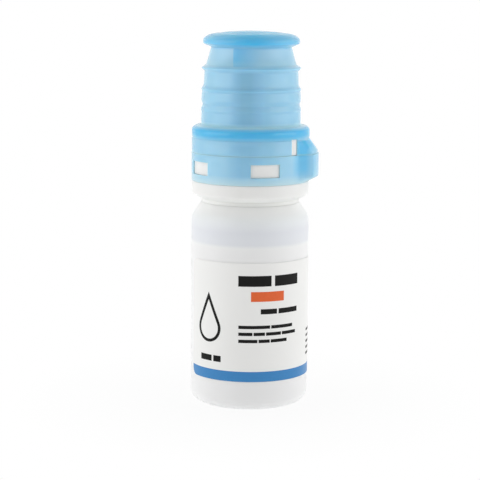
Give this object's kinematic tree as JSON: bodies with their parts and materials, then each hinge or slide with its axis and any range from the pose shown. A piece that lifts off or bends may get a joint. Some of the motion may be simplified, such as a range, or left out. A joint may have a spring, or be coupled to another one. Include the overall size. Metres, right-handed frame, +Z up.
{
  "type": "eye drop bottle",
  "caption": "Small pump dropper bottle for eye drops, with a collapsing inner bag, a press head with a finger flange, a tamper ring and a blue pull-off cap.",
  "frame": {"origin": "centre of the ring on which the bottle stands, on the bottle's own axis", "axes": "+Z up along the bottle's axis towards the cap, -Y the front where the label is read, +X the side near the grip tab"},
  "size_m": [0.0314, 0.0292, 0.0919],
  "materials": {
    "natural_plastic": "natural translucent polyethylene, satin moulded surface",
    "label_film": "white printed film with a blue stripe",
    "bag_film": "thin translucent film",
    "seal_rubber": "smooth grey elastomer",
    "blue_plastic": "pale blue translucent polypropylene, glossy",
    "seal_plastic": "soft natural polyethylene",
    "spring_steel": "drawn stainless wire",
    "polished_steel": "polished stainless ball",
    "silver_wire": "bright silver wire"
  },
  "bodies": {
    "bottle_body": {"bottle": "natural_plastic", "label": "label_film", "inner_bag": "bag_film", "neck_gasket": "seal_rubber", "snap_collar": "natural_plastic", "pump_cylinder": "natural_plastic", "intake_tube": "natural_plastic", "ball_retainer": "natural_plastic", "return_spring": "spring_steel", "stem_guide": "natural_plastic"},
    "head": {"press_head": "natural_plastic", "tamper_ring": "blue_plastic", "nozzle": "natural_plastic", "silver_spiral": "silver_wire", "spring_cup": "natural_plastic", "outlet_spring": "spring_steel", "nozzle_tip": "natural_plastic", "stem": "natural_plastic", "piston_seal": "seal_rubber"},
    "outlet_pin": {"outlet_pin": "natural_plastic"},
    "inlet_ball": {"inlet_ball": "polished_steel"},
    "cap": {"cap": "blue_plastic", "cap_seal": "seal_plastic"}
  },
  "joints": [
    {"name": "head_press", "type": "slide", "parent": "bottle_body", "child": "head", "axis": [0, 0, 1], "range_m": [-0.0009, 0], "stiffness_N_per_m": 3000, "springref_m": 0.001, "deforming": ["return_spring"]},
    {"name": "pin_open", "type": "slide", "parent": "head", "child": "outlet_pin", "axis": [0, 0, 1], "range_m": [-0.0004, 0], "deforming": ["outlet_spring"]},
    {"name": "ball_lift", "type": "slide", "parent": "bottle_body", "child": "inlet_ball", "axis": [0, 0, 1], "range_m": [0, 0.0005]},
    {"name": "cap_pull", "type": "slide", "parent": "head", "child": "cap", "axis": [0, 0, 1], "range_m": [0, 0.036]}
  ],
  "couplings": [
    {"joint": "pin_open", "follows": "head_press", "ratio": 0.44}
  ]
}
